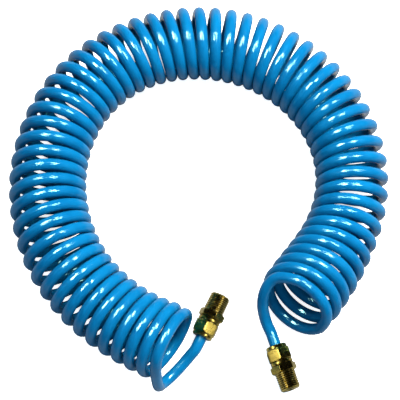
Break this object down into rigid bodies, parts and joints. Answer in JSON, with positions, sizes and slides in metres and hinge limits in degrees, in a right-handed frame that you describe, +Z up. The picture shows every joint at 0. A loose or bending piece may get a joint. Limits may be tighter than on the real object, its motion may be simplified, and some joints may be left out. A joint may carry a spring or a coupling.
{
  "type": "coiled air hose",
  "caption": "Self-storing coiled air hose, its coil bent into an open ring on the floor, with a brass swivel male pipe fitting on each end.",
  "frame": {"origin": "on the floor, at the bottom centre of the ring's bounding box", "axes": "+Z up; the ring lies flat, its open side towards -Y and its two fittings at that side, fitting A towards -X"},
  "size_m": [0.2662, 0.2744, 0.0567],
  "materials": {
    "hose_coil": null,
    "hose_tail": "glossy blue polyurethane tube",
    "compression_nut": "machined brass, lightly dulled",
    "ferrule": "machined brass",
    "hose_insert": "thin drawn brass",
    "swivel_body": "machined brass, polished neck",
    "swivel_seal": "black nitrile rubber",
    "retaining_ring": "spring steel wire",
    "pipe_nipple": "machined brass, cut thread"
  },
  "bodies": {
    "hose": {"hose_coil": "hose_coil", "hose_tail_a": "hose_tail", "hose_tail_b": "hose_tail", "hose_insert_a": "hose_insert", "hose_insert_b": "hose_insert", "swivel_body_a": "swivel_body", "swivel_body_b": "swivel_body", "swivel_seal_a": "swivel_seal", "swivel_seal_b": "swivel_seal", "retaining_ring_a": "retaining_ring", "retaining_ring_b": "retaining_ring"},
    "nipple_a": {"pipe_nipple_a": "pipe_nipple"},
    "nipple_b": {"pipe_nipple_b": "pipe_nipple"},
    "ferrule_a": {"ferrule_a": "ferrule"},
    "ferrule_b": {"ferrule_b": "ferrule"},
    "nut_a": {"compression_nut_a": "compression_nut"},
    "nut_b": {"compression_nut_b": "compression_nut"}
  },
  "joints": [
    {"name": "nipple_a_swivel", "type": "hinge", "parent": "hose", "child": "nipple_a", "pos_m": [0.00178, -0.09835, 0.0095], "axis": [0.4258, 0.9048, 0], "continuous": true},
    {"name": "nut_a_travel", "type": "slide", "parent": "hose", "child": "ferrule_a", "axis": [-0.4258, -0.9048, 0], "range_m": [0, 0.00424]},
    {"name": "nut_a_turn", "type": "hinge", "parent": "ferrule_a", "child": "nut_a", "pos_m": [0.00178, -0.09835, 0.0095], "axis": [-0.4258, -0.9048, 0], "range_deg": [0, 1440]},
    {"name": "nipple_b_swivel", "type": "hinge", "parent": "hose", "child": "nipple_b", "pos_m": [0.05333, -0.1046, 0.0095], "axis": [0.3206, -0.9472, 0], "continuous": true},
    {"name": "nut_b_travel", "type": "slide", "parent": "hose", "child": "ferrule_b", "axis": [-0.3206, 0.9472, 0], "range_m": [0, 0.00424]},
    {"name": "nut_b_turn", "type": "hinge", "parent": "ferrule_b", "child": "nut_b", "pos_m": [0.05333, -0.1046, 0.0095], "axis": [-0.3206, 0.9472, 0], "range_deg": [0, 1440]}
  ],
  "couplings": [
    {"joint": "nut_a_travel", "follows": "nut_a_turn", "m_per_rad": 0.00016844},
    {"joint": "nut_b_travel", "follows": "nut_b_turn", "m_per_rad": 0.00016844}
  ]
}
